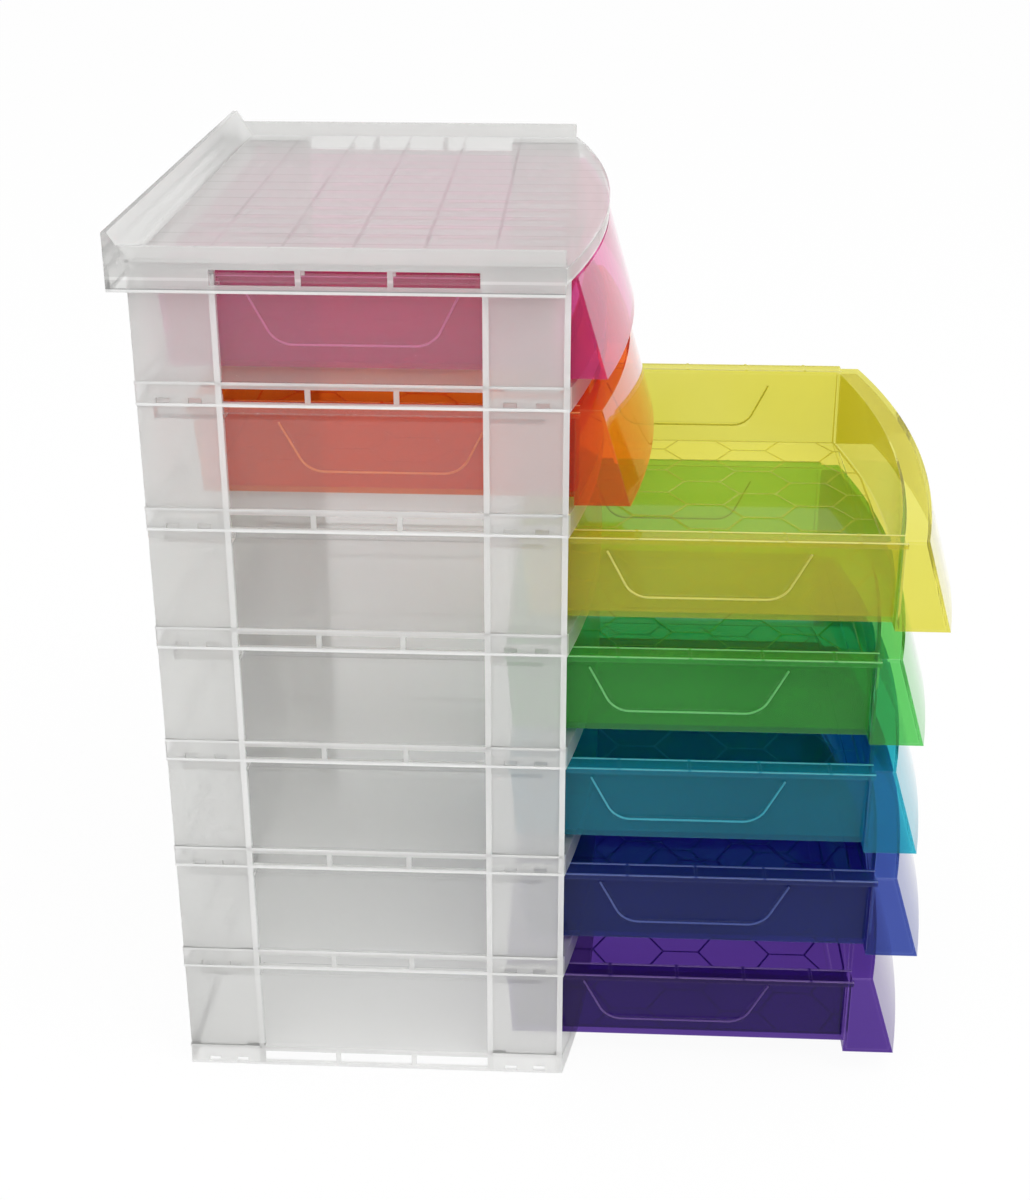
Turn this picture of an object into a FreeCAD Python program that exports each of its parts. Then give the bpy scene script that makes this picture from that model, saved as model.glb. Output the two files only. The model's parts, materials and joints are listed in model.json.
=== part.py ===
"""Desktop tower of seven drawers, made of clipped plastic panels.

The frame is centred on the body: X across, the front faces -Y, Z up from the table.
"""
import FreeCAD, Part
import os
import re

DRIVING = {
    "body_width": 224.0,
    "body_depth": 160.0,
    "front_bow": 13.0,
    "skirt_height": 9.0,
    "skirt_wall": 1.4,
    "skirt_foot": 1.6,
    "slot_bar": 2.0,
    "plate_thickness": 2.0,
    "tongue_wall": 1.2,
    "tongue_height": 4.0,
    "flush_step": 0.25,
    "panel_fit": 0.2,
    "column_depth": 32.0,
    "window_recess": 0.8,
    "window_border": 2.5,
    "strip_width": 2.3,
    "clip_first": 10.0,
    "clip_second": 22.0,
    "clip_width": 5.0,
    "clip_height": 2.4,
    "clip_base": 0.8,
    "clip_reach": 1.2,
    "clip_back": 70.0,
    "tab_inset": 14.0,
    "tab_length": 20.0,
    "tab_wall": 1.2,
    "rail_width": 6.5,
    "rail_thickness": 2.0,
    "rail_front": 9.5,
    "stop_wall": 2.0,
    "stop_reach": 3.0,
    "stop_height": 3.0,
    "run_gap": 0.3,
    "side_gap": 0.6,
    "rim_drop": 1.5,
    "rim_thickness": 2.0,
    "rim_width": 7.2,
    "rear_gap": 8.0,
    "travel_margin": 24.0,
    "nib_length": 4.0,
    "nib_width": 2.6,
    "nib_height": 3.5,
    "tick_pitch": 28.0,
    "tick_width": 1.2,
    "tick_height": 0.5,
    "tray_depth": 37.0,
    "tray_seat": 2.5,
    "tray_wall": 1.6,
    "tray_floor": 1.6,
    "tray_taper": 2.5,
    "bead_top": 78.0,
    "bead_bottom": 58.0,
    "bead_drop": 8.0,
    "bead_depth": 20.0,
    "bead_width": 1.4,
    "bead_relief": 0.6,
    "hood_inset": 7.0,
    "hood_overhang": 0.5,
    "hood_depth": 9.5,
    "hood_reach": 8.0,
    "hood_lean": 11.0,
    "hood_wall": 1.8,
    "lip_below": 1.0,
    "lid_side": 9.0,
    "lid_rear": 5.0,
    "lid_drop": 3.5,
    "lip_wall": 2.0,
    "lip_height": 6.2,
    "rear_lip_height": 11.0,
    "rear_lip_run": 9.0,
    "rib_wall": 1.0,
    "rib_depth": 2.0,
    "rib_pitch_across": 15.0,
    "rib_pitch_along": 26.0,
    "pink_out": 0.0,
    "orange_out": 9.6,
    "yellow_short": 2.4,
    "green_short": 8.4,
    "teal_short": 6.9,
    "blue_short": 2.4,
    "purple_short": 8.4,
}
TRAVEL = "(body_depth - travel_margin)"
PULLED = {
    "pink": "pink_out",
    "orange": "orange_out",
    "yellow": f"({TRAVEL} - yellow_short)",
    "green": f"({TRAVEL} - green_short)",
    "teal": f"({TRAVEL} - teal_short)",
    "blue": f"({TRAVEL} - blue_short)",
    "purple": f"({TRAVEL} - purple_short)",
}
COLOURS = list(PULLED)
TIERS = len(COLOURS)
SLOTS = 3
TICKS = 5
RIBS_ACROSS = 13
RIBS_ALONG = 5

# Faces that several pieces share, written as formulas of the driving sizes
HALF_W = "(body_width / 2)"
HALF_D = "(body_depth / 2)"
PLATE_UNDER = "(skirt_height - plate_thickness)"
PANEL_FACE = "(body_width / 2 - flush_step)"
TONGUE_OUT = "(body_width / 2 - skirt_wall - panel_fit)"
PANEL_IN = "(body_width / 2 - skirt_wall - panel_fit - tongue_wall)"
REAR_FACE = "(body_depth / 2 - flush_step)"
REAR_TONGUE = "(body_depth / 2 - skirt_wall - panel_fit)"
REAR_IN = "(body_depth / 2 - skirt_wall - panel_fit - tongue_wall)"
WINDOW = "(body_depth / 2 - column_depth)"
SLOT = f"((2 * {WINDOW} - {SLOTS - 1} * slot_bar) / {SLOTS})"
BOW_RADIUS = "((body_width ^ 2 / 4 + front_bow ^ 2) / (2 * front_bow))"
BOW_CENTRE = f"({BOW_RADIUS} - front_bow - body_depth / 2)"
FAR_FRONT = "(-body_depth / 2 - front_bow - hood_lean - hood_depth)"
TRAY_UNDER = "(skirt_height + tray_seat)"
RIM_TOP = f"({TRAY_UNDER} + tray_depth)"
PITCH = f"({RIM_TOP} + rim_drop)"
RIM_UNDER = f"({RIM_TOP} - rim_thickness)"
RAIL_TOP = f"({RIM_UNDER} - run_gap)"
RIM_OUT = f"({PANEL_IN} - side_gap)"
TRAY_OUT = f"({RIM_OUT} - rim_width)"
TRAY_REAR = "(body_depth / 2 - rear_gap)"
TRAY_RADIUS = f"({BOW_RADIUS} + hood_overhang - hood_depth)"
HOOD_OUT = "(body_width / 2 - hood_inset)"
HOOD_REAR = "(hood_reach - body_depth / 2)"
HOOD_RADIUS = f"({BOW_RADIUS} + hood_overhang)"
LIP_UNDER = f"({TRAY_UNDER} - lip_below)"
LID_OUT = "(body_width / 2 + lid_side)"
LID_REAR = "(body_depth / 2 + lid_rear)"
LID_RADIUS = f"({BOW_RADIUS} + hood_overhang)"
LID_UNDER = "tongue_height"
LID_TOP = "(tongue_height + plate_thickness)"

doc = FreeCAD.newDocument("drawer_unit")
sheet = doc.addObject("Spreadsheet::Sheet", "Sizes")
for row, (alias, value) in enumerate(DRIVING.items(), start=1):
    sheet.set(f"A{row}", alias)
    sheet.set(f"B{row}", str(value))
    sheet.setAlias(f"B{row}", alias)
doc.recompute()


def formula(text):
    """Return the expression with every driving size read from the sheet."""
    names = "|".join(sorted(DRIVING, key=len, reverse=True))
    return re.sub(rf"\b({names})\b", r"Sizes.\1", text)


def bind(piece, **fields):
    """Bind properties of a piece to formulas; x, y and z are its position."""
    for field, text in fields.items():
        path = f".Placement.Base.{field}" if field in "xyz" else field
        piece.setExpression(path, formula(text))
    return piece


def box(name, x, y, z):
    """Make a box from the formulas of its lower and upper face on each axis."""
    piece = doc.addObject("Part::Box", name)
    bind(piece, Length=f"{x[1]} - ({x[0]})", Width=f"{y[1]} - ({y[0]})", Height=f"{z[1]} - ({z[0]})")
    return bind(piece, x=x[0], y=y[0], z=z[0])


def disc(name, radius, z, lean="0"):
    """Make an upright cone about the bow's centre, wider at the foot by the lean."""
    piece = doc.addObject("Part::Cone" if lean != "0" else "Part::Cylinder", name)
    if lean != "0":
        bind(piece, Radius1=f"{radius} + {lean}", Radius2=radius)
    else:
        bind(piece, Radius=radius)
    return bind(piece, Height=f"{z[1]} - ({z[0]})", y=BOW_CENTRE, z=z[0])


def wedge(name, foot_x, foot_y, top_x, top_y, z):
    """Make an upright block whose foot and top are different rectangles."""
    piece = doc.addObject("Part::Wedge", name)
    piece.Placement.Rotation = FreeCAD.Rotation(FreeCAD.Vector(1, 0, 0), 90)
    bind(piece, Xmin=foot_x[0], Xmax=foot_x[1], Zmin=f"-({foot_y[1]})", Zmax=f"-({foot_y[0]})")
    bind(piece, X2min=top_x[0], X2max=top_x[1], Z2min=f"-({top_y[1]})", Z2max=f"-({top_y[0]})")
    return bind(piece, Ymin=z[0], Ymax=z[1])


def cut(name, base, tools):
    """Cut several pieces out of one."""
    piece = doc.addObject("Part::Cut", name)
    piece.Base = base
    piece.Tool = tools[0] if len(tools) == 1 else fuse(f"{name}_tools", tools)
    return piece


def fuse(name, pieces):
    """Join pieces into one solid."""
    piece = doc.addObject("Part::MultiFuse", name)
    piece.Shapes = pieces
    piece.Refine = True
    return piece


def common(name, pieces):
    """Keep what the pieces share."""
    piece = doc.addObject("Part::MultiCommon", name)
    piece.Shapes = pieces
    return piece


def both(half):
    """Return the pair of formulas from minus to plus a half size."""
    return f"-({half})", f"{half}"


def around(middle, length):
    """Return the pair of formulas of a length about its middle."""
    return f"({middle}) - ({length}) / 2", f"({middle}) + ({length}) / 2"


def slot_windows(name, height):
    """Make the rows of slot cutters that pass through the side skirts."""
    cutters = []
    for index in range(SLOTS):
        start = f"(-{WINDOW} + {index} * ({SLOT} + slot_bar))"
        span = (start, f"{start} + {SLOT}")
        for side, faces in (("left", ("-body_width", f"-{TONGUE_OUT}")),
                            ("right", (TONGUE_OUT, "body_width"))):
            cutters.append(box(f"{name}_{side}_window_{index}", faces, span, height))
    return cutters


def clip_places():
    """Return the formulas of the clips' places along one side."""
    insets = ("clip_first", "clip_second")
    return [f"{sign}(body_depth / 2 - {inset})" for sign in ("-", "") for inset in insets]


def side_clip_cutters(name):
    """Make the cutters of the clip slots in both side skirts."""
    cutters = []
    height = ("clip_base", "clip_base + clip_height")
    for index, place in enumerate(clip_places()):
        for side, faces in (("left", (f"-{HALF_W} - panel_fit", f"-{TONGUE_OUT}")),
                            ("right", (TONGUE_OUT, f"{HALF_W} + panel_fit"))):
            cutters.append(box(f"{name}_{side}_clip_{index}", faces, around(place, "clip_width"), height))
    return cutters


def back_clip_cutters(name):
    """Make the cutters of the clip slots in the rear skirt."""
    height = ("clip_base", "clip_base + clip_height")
    depth = (REAR_TONGUE, f"{HALF_D} + panel_fit")
    return [box(f"{name}_back_clip_{index}", around(place, "clip_width"), depth, height)
            for index, place in enumerate(("-clip_back", "clip_back"))]


def tab_cutters(name):
    """Make the cutters of the plate's slots for the tabs of the panels above."""
    height = (f"{PLATE_UNDER} - panel_fit", "skirt_height + panel_fit")
    length = "tab_length + 2 * panel_fit"
    cutters = []
    for index, place in enumerate((f"-({HALF_D} - tab_inset)", f"{HALF_D} - tab_inset")):
        for side, faces in (("left", (f"-({PANEL_IN} + tab_wall + panel_fit)", f"-({PANEL_IN} - panel_fit)")),
                            ("right", (f"{PANEL_IN} - panel_fit", f"{PANEL_IN} + tab_wall + panel_fit"))):
            cutters.append(box(f"{name}_{side}_tab_{index}", faces, around(place, length), height))
    faces = (f"{REAR_IN} - panel_fit", f"{REAR_IN} + tab_wall + panel_fit")
    for index, place in enumerate(("-clip_back", "clip_back")):
        cutters.append(box(f"{name}_back_tab_{index}", around(place, length), faces, height))
    return cutters


def shelf_master():
    """Model a shelf: plate with a bowed front, and a skirt all round it."""
    height = ("0", "skirt_height")
    outline = common("shelf_outline", [
        box("shelf_block", both(HALF_W), (FAR_FRONT, HALF_D), height),
        disc("shelf_bow", BOW_RADIUS, height)])
    inside = ("-plate_thickness", PLATE_UNDER)
    hollow = common("shelf_hollow", [
        box("shelf_hollow_block", both(f"{HALF_W} - skirt_wall"),
            (FAR_FRONT, f"{HALF_D} - skirt_wall"), inside),
        disc("shelf_hollow_bow", f"{BOW_RADIUS} - skirt_wall", inside)])
    cutters = [hollow] + slot_windows("shelf", ("skirt_foot", PLATE_UNDER)) + side_clip_cutters("shelf")
    return cut("shelf", outline, cutters + back_clip_cutters("shelf") + tab_cutters("shelf"))


def side_panel_master():
    """Model the left side panel with its tongues, window, rail, stops, clips and tabs."""
    inward = f"-({PANEL_IN} - rail_width)"
    storey = ("skirt_height", PITCH)
    wall = box("panel_wall", (f"-{PANEL_FACE}", f"-{PANEL_IN}"), both(REAR_FACE), storey)
    pane = box("panel_pane", (f"-{HALF_W}", f"-({PANEL_FACE} - window_recess)"), both(WINDOW),
               ("skirt_height + window_border", f"{PITCH} - window_border"))
    rail_end = f"({TRAY_REAR} + run_gap + stop_wall)"
    pieces = [
        cut("panel_sheet", wall, [pane]),
        box("panel_rail", (f"-{PANEL_IN}", inward), (f"rail_front - {HALF_D}", rail_end),
            (f"{RAIL_TOP} - rail_thickness", RAIL_TOP)),
        box("panel_rear_stop", (f"-{PANEL_IN}", inward), (f"{rail_end} - stop_wall", rail_end),
            (RAIL_TOP, f"{RIM_TOP} + stop_height")),
    ]
    stop_face = f"({TRAY_REAR} - nib_length - {TRAVEL} - run_gap)"
    stop_foot = f"({RIM_TOP} + tick_height + run_gap)"
    pieces.append(box("panel_front_stop", (f"-{PANEL_IN}", f"-({PANEL_IN} - stop_reach)"),
                      (f"{stop_face} - stop_wall", stop_face), (stop_foot, f"{stop_foot} + stop_height")))
    columns = (("front", (f"-{REAR_TONGUE}", f"-{WINDOW}"), (f"-{WINDOW} - strip_width", f"-{WINDOW}")),
               ("rear", (WINDOW, REAR_TONGUE), (WINDOW, f"{WINDOW} + strip_width")))
    for end, tongue, strip in columns:
        pieces.append(box(f"panel_tongue_{end}", (f"-{TONGUE_OUT}", f"-{PANEL_IN}"), tongue,
                          (PITCH, f"{PITCH} + tongue_height")))
        pieces.append(box(f"panel_strip_{end}", (f"-{HALF_W}", f"-{PANEL_FACE}"), strip, storey))
    clip = (f"{PITCH} + clip_base + panel_fit", f"{PITCH} + clip_base + clip_height - panel_fit")
    for index, place in enumerate(clip_places()):
        pieces.append(box(f"panel_clip_{index}", (f"-({TONGUE_OUT} + clip_reach)", f"-{TONGUE_OUT}"),
                          around(place, "clip_width - 2 * panel_fit"), clip))
    for index, place in enumerate((f"-({HALF_D} - tab_inset)", f"{HALF_D} - tab_inset")):
        pieces.append(box(f"panel_tab_{index}", (f"-({PANEL_IN} + tab_wall)", f"-{PANEL_IN}"),
                          around(place, "tab_length"), (PLATE_UNDER, "skirt_height")))
    return fuse("side_panel", pieces)


def back_panel_master():
    """Model the back panel with its tongue, clips and tabs."""
    across = both(f"({PANEL_IN} - panel_fit)")
    pieces = [
        box("back_wall", across, (REAR_IN, REAR_FACE), ("skirt_height", PITCH)),
        box("back_tongue", across, (REAR_IN, REAR_TONGUE), (PITCH, f"{PITCH} + tongue_height")),
    ]
    clip = (f"{PITCH} + clip_base + panel_fit", f"{PITCH} + clip_base + clip_height - panel_fit")
    for index, place in enumerate(("-clip_back", "clip_back")):
        pieces.append(box(f"back_clip_{index}", around(place, "clip_width - 2 * panel_fit"),
                          (REAR_TONGUE, f"{REAR_TONGUE} + clip_reach"), clip))
        pieces.append(box(f"back_tab_{index}", around(place, "tab_length"),
                          (REAR_IN, f"{REAR_IN} + tab_wall"), (PLATE_UNDER, "skirt_height")))
    return fuse("back_panel", pieces)


def tray_solid(name, grow, radius):
    """Make the tapered tray's outer form, grown on its sides and rear."""
    height = (TRAY_UNDER, RIM_TOP)
    foot = f"({TRAY_OUT} - tray_taper + {grow})"
    block = wedge(f"{name}_block", both(foot), (FAR_FRONT, f"{TRAY_REAR} - tray_taper + {grow}"),
                  both(f"({TRAY_OUT} + {grow})"), (FAR_FRONT, f"{TRAY_REAR} + {grow}"), height)
    return common(name, [block, disc(f"{name}_bow", radius, height)])


def tray_hollow():
    """Make the space inside the tray, open at the top."""
    height = (f"{TRAY_UNDER} + tray_floor", f"{RIM_TOP} + nib_height")
    foot = f"({TRAY_OUT} - tray_taper - tray_wall)"
    block = wedge("tray_hollow_block", both(foot), (FAR_FRONT, f"{TRAY_REAR} - tray_taper - tray_wall"),
                  both(f"({TRAY_OUT} - tray_wall)"), (FAR_FRONT, f"{TRAY_REAR} - tray_wall"), height)
    return common("tray_hollow", [block, disc("tray_hollow_bow", f"{TRAY_RADIUS} - tray_wall", height)])


def side_beads():
    """Make the raised trapezoid outline on both side walls of the tray."""
    top = f"{RIM_TOP} - bead_drop"
    foot = f"{top} - bead_depth"
    wide = both("body_width")
    outer = wedge("bead_outer", wide, both("bead_bottom / 2"), wide, both("bead_top / 2"), (foot, top))
    inner = wedge("bead_inner", wide, both("bead_bottom / 2 - bead_width"),
                  wide, both("bead_top / 2 - bead_width"), (f"{foot} + bead_width", top))
    skin = tray_solid("bead_skin", "bead_relief", BOW_RADIUS)
    return common("beads", [cut("bead_ring", outer, [inner]), skin])


def hood(tray):
    """Make the bowed, leaning front with its cheeks and the finger gap behind it."""
    height = (LIP_UNDER, RIM_TOP)
    outer = common("hood_outer", [
        box("hood_block", both(HOOD_OUT), (FAR_FRONT, HOOD_REAR), height),
        disc("hood_face", HOOD_RADIUS, height, "hood_lean")])
    inner = common("hood_inner", [
        box("hood_inner_block", both(f"{HOOD_OUT} - hood_wall"), (FAR_FRONT, f"{HOOD_REAR} - hood_wall"),
            (LIP_UNDER, RIM_UNDER)),
        disc("hood_inner_face", f"{HOOD_RADIUS} - hood_wall", height, "hood_lean")])
    return cut("hood", outer, [cut("finger_gap", inner, [tray])])


def drawer_master():
    """Model a drawer in one moulding: tray, rims, end nibs, beads and hood."""
    tray = tray_solid("tray", "0", TRAY_RADIUS)
    pieces = [tray, hood(tray), side_beads()]
    pieces.append(box("rim", both(RIM_OUT), (f"{HOOD_REAR} - hood_wall", TRAY_REAR), (RIM_UNDER, RIM_TOP)))
    for side, faces in (("left", (f"-{RIM_OUT}", f"-({RIM_OUT} - nib_width)")),
                        ("right", (f"{RIM_OUT} - nib_width", RIM_OUT))):
        pieces.append(box(f"nib_{side}", faces, (f"{TRAY_REAR} - nib_length", TRAY_REAR),
                          (RIM_TOP, f"{RIM_TOP} + nib_height")))
    for index in range(TICKS):
        place = f"({index} - {(TICKS - 1) / 2}) * tick_pitch"
        pieces.append(box(f"tick_{index}", both(RIM_OUT), around(place, "tick_width"),
                          (RIM_TOP, f"{RIM_TOP} + tick_height")))
    return cut("drawer", fuse("drawer_body", pieces), [tray_hollow()])


def top_cover():
    """Model the cover: plate with ribs, outer skirt, seat on the panels, side lips and a rear lip."""
    height = ("0", LID_TOP)
    plate = common("lid_outline", [
        box("lid_block", both(LID_OUT), (FAR_FRONT, LID_REAR), height), disc("lid_bow", LID_RADIUS, height)])
    inside = ("-plate_thickness", LID_UNDER)
    hollow = common("lid_hollow", [
        box("lid_hollow_block", both(f"{LID_OUT} - skirt_wall"),
            (FAR_FRONT, f"{LID_REAR} - skirt_wall"), inside),
        disc("lid_hollow_bow", f"{LID_RADIUS} - skirt_wall", inside)])
    seat = cut("lid_seat", box("lid_seat_block", both(HALF_W), both(HALF_D), ("0", LID_TOP)), [
        box("lid_seat_hollow", both(f"{HALF_W} - skirt_wall"), ("-body_depth", f"{HALF_D} - skirt_wall"),
            ("-plate_thickness", "skirt_height"))])
    hang = ("-lid_drop", LID_UNDER)
    pieces = [cut("lid_shell", plate, [hollow]), seat]
    pieces.append(box("lid_rear_skirt", both(LID_OUT), (f"{LID_REAR} - skirt_wall", LID_REAR), hang))
    along = (f"lip_wall - {HALF_D}", LID_REAR)
    edges = (("left", (f"-{LID_OUT}", f"-({LID_OUT} - skirt_wall)"),
              (f"-{LID_OUT}", f"-({LID_OUT} - lip_wall)")),
             ("right", (f"{LID_OUT} - skirt_wall", LID_OUT), (f"{LID_OUT} - lip_wall", LID_OUT)))
    for side, skirt, lip in edges:
        pieces.append(box(f"lid_skirt_{side}", skirt, along, hang))
        pieces.append(box(f"lid_lip_{side}", lip, along, (LID_TOP, f"{LID_TOP} + lip_height")))
    pieces.append(wedge("lid_rear_lip", both(LID_OUT), (f"{LID_REAR} - rear_lip_run", LID_REAR),
                        both(LID_OUT), (f"{LID_REAR} - lip_wall", LID_REAR),
                        (LID_TOP, f"{LID_TOP} + rear_lip_height")))
    rib_height = (f"{LID_UNDER} - rib_depth", LID_UNDER)
    for index in range(RIBS_ACROSS):
        place = f"({index} - {(RIBS_ACROSS - 1) / 2}) * rib_pitch_across"
        pieces.append(box(f"lid_rib_{index}", around(place, "rib_wall"),
                          both(f"({REAR_IN} - panel_fit)"), rib_height))
    for index in range(RIBS_ALONG):
        place = f"({index} - {(RIBS_ALONG - 1) / 2}) * rib_pitch_along"
        pieces.append(box(f"lid_cross_rib_{index}", both(f"({PANEL_IN} - panel_fit)"),
                          around(place, "rib_wall"), rib_height))
    cutters = slot_windows("lid", ("skirt_foot - lid_drop", LID_UNDER)) + side_clip_cutters("lid")
    return cut("lid", fuse("lid_body", pieces), cutters + back_clip_cutters("lid"))


def place_copy(label, master, level, out="0"):
    """Set one piece in the tower: at its level, pulled out by a distance."""
    piece = doc.addObject("PartDesign::Body", label)
    piece.BaseFeature = master
    piece.Label = label
    return bind(piece, y=f"-({out})", z=level)


shelf = shelf_master()
left = side_panel_master()
right = doc.addObject("Part::Mirroring", "side_panel_mirrored")
right.Source = left
right.Normal = FreeCAD.Vector(1, 0, 0)
back = back_panel_master()
drawer = drawer_master()

nodes = [place_copy("top_cover", top_cover(), f"{TIERS} * {PITCH}")]
for tier, colour in enumerate(COLOURS, start=1):
    floor = f"{TIERS - tier} * {PITCH}"
    nodes.append(place_copy("base_shelf" if tier == TIERS else f"shelf_{tier}", shelf, floor))
    nodes.append(place_copy(f"left_panel_{tier}", left, floor))
    nodes.append(place_copy(f"right_panel_{tier}", right, floor))
    nodes.append(place_copy(f"back_panel_{tier}", back, floor))
    nodes.append(place_copy(f"{colour}_drawer", drawer, floor, PULLED[colour]))
doc.recompute()

for piece in doc.Objects:
    if "Invalid" in piece.State or "Error" in piece.State:
        raise RuntimeError(f"{piece.Name} failed: {piece.State}")
os.makedirs("parts", exist_ok=True)
for piece in nodes:
    if piece.Shape.isNull() or not piece.Shape.isValid() or len(piece.Shape.Solids) != 1:
        raise RuntimeError(f"{piece.Label} is not one valid solid")
for piece in nodes:
    piece.Shape.exportStep(f"parts/{piece.Label}.step")
    print(piece.Label, round(piece.Shape.Volume), piece.Shape.BoundBox)
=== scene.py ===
"""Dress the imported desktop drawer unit: frosted tower, see-through tinted drawers, white studio."""
import json
import logging
import math
from collections.abc import Callable
from dataclasses import dataclass, field, replace
from enum import Enum

import bpy
from mathutils import Euler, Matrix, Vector


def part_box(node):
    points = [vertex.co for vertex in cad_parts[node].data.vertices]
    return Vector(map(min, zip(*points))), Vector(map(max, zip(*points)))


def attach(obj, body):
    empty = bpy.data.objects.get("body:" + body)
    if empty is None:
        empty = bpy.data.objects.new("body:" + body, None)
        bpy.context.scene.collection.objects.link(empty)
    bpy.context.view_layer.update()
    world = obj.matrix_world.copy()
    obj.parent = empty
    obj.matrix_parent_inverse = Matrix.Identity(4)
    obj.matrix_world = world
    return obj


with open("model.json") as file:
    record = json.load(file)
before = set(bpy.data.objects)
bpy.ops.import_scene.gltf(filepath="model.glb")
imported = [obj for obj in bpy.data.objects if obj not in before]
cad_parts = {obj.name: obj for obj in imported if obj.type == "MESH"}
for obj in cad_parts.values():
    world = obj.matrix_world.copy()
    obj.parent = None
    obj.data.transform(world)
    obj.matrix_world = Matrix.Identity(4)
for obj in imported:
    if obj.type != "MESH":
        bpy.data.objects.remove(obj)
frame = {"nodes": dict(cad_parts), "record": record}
LOG = logging.getLogger("drawer_unit")
Colour = tuple[float, float, float]
Place = tuple[float, float, float]
WHITE = (1.0, 1.0, 1.0, 1.0)


@dataclass(frozen=True)
class TintFinish:
    """A glossy see-through drawer plastic.

    The tint is what a wall of it lets through, in linear light, and the deep tint is the same plastic where
    the melt ran thicker; the deep tint is also painted into the flutes as painted shade. The flutes are the
    fine upright grooves in the hood's face.
    """
    body: str
    tint: Colour
    deep: Colour
    clarity: float = 0.84
    highlight_clarity: float = 0.45
    highlight_power: float = 0.8
    edge_highlight_power: float = 0.45
    highlight_reach: float = 0.0008
    flow_scale: float = 11.0
    smooth: float = 0.03
    rubbed: float = 0.14
    refraction: float = 1.01
    side_coat: float = 0.35
    coat_roughness: float = 0.04
    coat_refraction: float = 1.49
    flute_pitch: float = 0.0075
    flute_sink: float = 0.5
    flute_strength: float = 0.35
    flute_distance: float = 0.0004
    flute_shade: float = 0.6
    flute_start: float = 0.002

    @property
    def slot(self) -> str:
        """The record's slot for this plastic."""
        return f"{self.body}_tint"

    @property
    def edge(self) -> Colour:
        """The paler tint painted as a highlight near a sharp edge."""
        return tuple(value ** self.edge_highlight_power for value in self.tint)

    @property
    def highlighted(self) -> "TintFinish":
        """The same plastic made paler along a bead or a rim, as a painted highlight."""
        paler = tuple(value ** self.highlight_power for value in self.tint)
        return replace(self, tint=paler, deep=self.tint, clarity=self.highlight_clarity)


class DrawerColour(Enum):
    """The drawers from the top tier down, each with its plastic."""
    PINK = TintFinish("pink", (0.82, 0.13, 0.42), (0.79, 0.10, 0.37))
    ORANGE = TintFinish("orange", (0.92, 0.20, 0.022), (0.89, 0.16, 0.014))
    YELLOW = TintFinish("yellow", (0.81, 0.77, 0.15), (0.78, 0.73, 0.11))
    GREEN = TintFinish("green", (0.165, 0.67, 0.18), (0.13, 0.61, 0.14))
    TEAL = TintFinish("teal", (0.038, 0.49, 0.63), (0.028, 0.44, 0.58))
    BLUE = TintFinish("blue", (0.068, 0.11, 0.44), (0.054, 0.09, 0.39))
    PURPLE = TintFinish("purple", (0.11, 0.044, 0.32), (0.09, 0.034, 0.28))


@dataclass(frozen=True)
class FrostFinish:
    """The colourless frosted plastic of the tower.

    The columns beside a side window are grained more coarsely than the pane, and the lines along edges
    are painted in a whiter colour as highlights.
    """
    slot: str = "frosted_clear"
    pale: Colour = (0.91, 0.91, 0.90)
    milky: Colour = (0.87, 0.87, 0.86)
    # Whiter colour of the painted highlight lines along edges.
    edge: Colour = (0.99, 0.99, 0.985)
    pane_roughness: float = 0.05
    pane_alpha: float = 0.19
    plate_alpha: float = 0.45
    inner_half: float = 0.110
    flow_scale: float = 7.0
    grain_roughness: float = 0.36
    grain_spread: float = 0.02
    grain_height: float = 0.004
    grain_distance: float = 0.0003
    transmission: float = 0.64
    refraction: float = 1.06
    rib_across: float = 0.015
    rib_along: float = 0.026
    rib_width: float = 0.0010
    # Painted shade over the cover's grid of ribs.
    rib_shade: Colour = (0.73, 0.715, 0.715)
    window_half: float = 0.048
    strip_width: float = 0.0023
    tier_pitch: float = 0.050
    line_height: float = 0.0011


class FrostArea(Enum):
    """What a frosted piece shows besides plain frost.

    A side panel has a clearer pane in its middle, a shelf a clearer plate inside its skirt, and the cover a
    grid of ribs through its plate, drawn as lines of painted shade.
    """
    PLAIN = "plain"
    WINDOWED = "windowed"
    SHELF = "shelf"
    RIBBED = "ribbed"


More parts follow.
